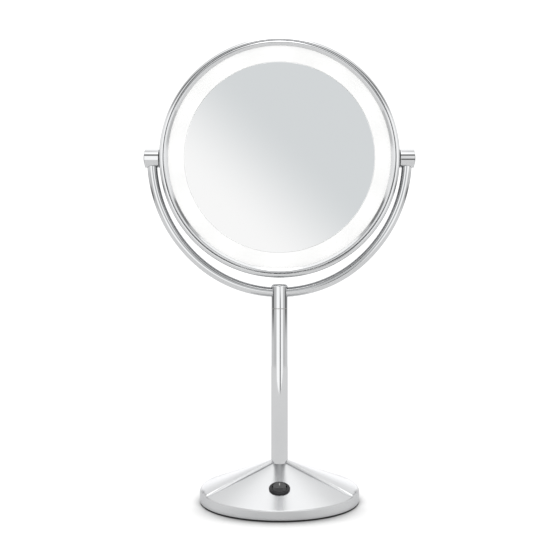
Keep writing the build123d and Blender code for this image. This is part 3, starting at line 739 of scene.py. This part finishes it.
def floor_material():
    """Pale floor with a contact shadow painted into its colour, tight at the sides and longer in front.
    Reflections see it even, apart from painted shade that makes it a little dimmer close ahead of the
    base."""
    material, tree, shader = blank("pale_floor")
    shader.inputs["Roughness"].default_value = 0.9
    shader.inputs["Specular IOR Level"].default_value = 0.0
    contact = tree.nodes.new("ShaderNodeAmbientOcclusion")
    contact.samples = 8
    contact.inputs["Distance"].default_value = SHADOW_REACH
    openness = contact.outputs["AO"]
    # painted contact shadow: the floor's colour darkens with ambient occlusion, tightly at the sides and
    # longer ahead
    tight = ramp(tree, openness, [(0.25, 0.01), (0.45, 0.45), (0.62, 0.80), (0.80, FLOOR_WHITE)])
    long = ramp(
        tree, openness, [(0.40, 0.01), (0.55, 0.34), (0.72, 0.48), (0.86, 0.66), (0.97, FLOOR_WHITE)]
    )
    ahead = map_range(tree, along_axes(tree, "Object")["Y"], SHADOW_TURN, (0.0, 1.0))
    place = tree.nodes.new("ShaderNodeTexCoord")
    gap = tree.nodes.new("ShaderNodeVectorMath")
    gap.operation = "DISTANCE"
    gap.inputs[1].default_value = DIM_PLACE
    tree.links.new(place.outputs["Object"], gap.inputs[0])
    away = map_range(tree, gap.outputs["Value"], DIM_REACH, (0.0, 1.0))
    # painted shade: reflections see the floor darker close ahead of the base
    reflected_painted_shade = ramp(tree, away, [(0.0, 0.78), (1.0, FLOOR_WHITE)])
    path = tree.nodes.new("ShaderNodeLightPath")
    shade = mixed(tree, path.outputs["Is Glossy Ray"], mixed(tree, ahead, tight, long), reflected_painted_shade)
    tree.links.new(shade, shader.inputs["Base Color"])
    shader.inputs["Emission Color"].default_value = (1, 1, 1, 1)
    lift = map_range(tree, path.outputs["Is Camera Ray"], (0.0, 1.0), (0.0, 0.08))
    tree.links.new(lift, shader.inputs["Emission Strength"])
    return material


def make_floor():
    reach = FLOOR_REACH
    corners = [(-reach, FLOOR_FRONT, 0), (reach, FLOOR_FRONT, 0), (reach, reach, 0), (-reach, reach, 0)]
    mesh_object("floor", corners, [(0, 1, 2, 3)], floor_material())


def front_glow(azimuth, elevation):
    """The softboxes either side of the camera, and the dark gaps between, under and over them."""
    side = abs(azimuth)
    left_box = 0.85 * bump_at(azimuth, -20, 10, 22)
    right_box = 0.75 * bump_at(azimuth, 32, 11, 13)
    middle = 0.35 * bump_at(azimuth, 0, 22, 8)
    boxes = (1 - ease(elevation, 34, 40)) * max(left_box, right_box, middle)
    gap_between = 1.9 * bump_at(azimuth, 12, 3.4, 3) * (1 - ease(elevation, 6, 9))
    gap_under = 0.9 * bump_at(azimuth, 0, 9, 2) * (1 - ease(elevation, -4.5, -3.5))
    gap_over = 0.6 * bump_at(elevation, 47.5, 4.5, 2.5) * (1 - ease(side, 60, 95))
    return boxes - gap_between - gap_under - gap_over


def side_glow(side, elevation):
    """Bright walls at the sides, with one dark flag under them and another behind them."""
    wall = 0.45 * bump_at(side, 80, 35, 12) * ease(elevation, 15, 21) * (1 - ease(elevation, 36, 44))
    under = 0.75 * bump_at(side, 102, 14, 16) * ease(elevation, 2.5, 6.5) * (1 - ease(elevation, 8, 13))
    behind = 0.70 * bump_at(side, 133, 8, 6) * ease(elevation, 8, 12) * (1 - ease(elevation, 26, 32))
    return wall - under - behind


def far_glow(side, elevation):
    """The far side, brightest low down and high up."""
    low = 0.90 * (1 - ease(elevation, 12, 22))
    middle = 0.25 * ease(elevation, 12, 22)
    high = 0.55 * ease(side, 120, 156) * ease(elevation, 40, 60)
    return ease(side, 146, 156) * (low + middle) + high


def overhead_glow(side, elevation):
    """The light overhead: strong ahead, weaker to the sides, and strongest straight up."""
    ahead = 2.0 * (1 - ease(side, 16, 34))
    beside = 0.8 * ease(side, 16, 34) * (1 - ease(side, 60, 95))
    return ease(elevation, 57.5, 60.5) * (ahead + beside) + 2.5 * ease(elevation, 78, 82)


def studio_glow(azimuth, elevation):
    """Brightness of the dome. Azimuth is 0 towards the camera and positive to the right, in degrees."""
    side = abs(azimuth)
    glow = 0.85 + 0.15 * ease(side, 60, 110)
    glow += front_glow(azimuth, elevation) + side_glow(side, elevation)
    glow += far_glow(side, elevation) + overhead_glow(side, elevation)
    return max(glow, 0.15)


def glow_material(name):
    material = bpy.data.materials.new(name)
    material.use_nodes = True
    tree = material.node_tree
    tree.nodes.clear()
    reader = tree.nodes.new("ShaderNodeAttribute")
    reader.attribute_name = GLOW
    emission = tree.nodes.new("ShaderNodeEmission")
    output = tree.nodes.new("ShaderNodeOutputMaterial")
    tree.links.new(reader.outputs["Color"], emission.inputs["Color"])
    tree.links.new(emission.outputs["Emission"], output.inputs["Surface"])
    return material


def make_glowing(name, vertices, faces, colours):
    """A stage mesh that shines by its vertices' colours, and that only reflections see."""
    thing = mesh_object(name, vertices, faces, glow_material(name))
    layer = thing.data.color_attributes.new(GLOW, "FLOAT_COLOR", "POINT")
    for item, colour in zip(layer.data, colours):
        item.color = (*colour, 1)
    thing.visible_camera = False
    thing.visible_diffuse = False
    thing.visible_shadow = False
    thing.visible_transmission = False
    thing.visible_volume_scatter = False


def make_dome():
    """The studio as reflections see it: softboxes, the dim gaps between them and the bright far side."""
    elevations, azimuths = range(DOME_LOW, 91), range(-180, 180)
    vertices, colours = [], []
    for elevation in elevations:
        for azimuth in azimuths:
            a, e = math.radians(azimuth), math.radians(elevation)
            out = DOME_R * math.cos(e)
            vertices.append((out * math.sin(a), -out * math.cos(a), DOME_R * math.sin(e)))
            colours.append([studio_glow(azimuth, elevation)] * 3)
    faces = grid_faces(len(elevations), len(azimuths), closed=True)
    make_glowing("studio_dome", vertices, faces, colours)


CARD_Y = -0.90
CARD_HALF = 0.200
CARD_LOW = 0.225
CARD_HIGH = 0.625
CARD_STEPS = 24
CARD_BRIGHT = (0.990, 0.990, 0.990)
CARD_DIM = (0.686, 0.712, 0.724)
CARD_FADE = (-0.207, 0.066)  # from bright to dim, up and to the right of the mirror's middle
MIRROR_VIEW_Z = 0.4205  # where the mirror's middle is seen on the card


def make_mirror_card():
    """What the flat mirror sees: a wall behind the camera that darkens towards the upper right."""
    vertices, colours = [], []
    for j in range(CARD_STEPS + 1):
        z = CARD_LOW + (CARD_HIGH - CARD_LOW) * j / CARD_STEPS
        for i in range(CARD_STEPS + 1):
            x = CARD_HALF * (2 * i / CARD_STEPS - 1)
            t = ease(z - MIRROR_VIEW_Z + x, *CARD_FADE)
            vertices.append((x, CARD_Y, z))
            colours.append([b + (d - b) * t for b, d in zip(CARD_BRIGHT, CARD_DIM)])
    faces = grid_faces(CARD_STEPS + 1, CARD_STEPS + 1, closed=False)
    make_glowing("mirror_view", vertices, faces, colours)


# ---------------------------------------------------------------- build
make_camera()
make_world()
make_floor()
make_dome()
make_mirror_card()
bpy.context.scene.view_settings.view_transform = "Standard"

finishes = make_materials()
dress_nodes(finishes)
make_cover(finishes)
make_head(finishes)
make_mark(finishes)
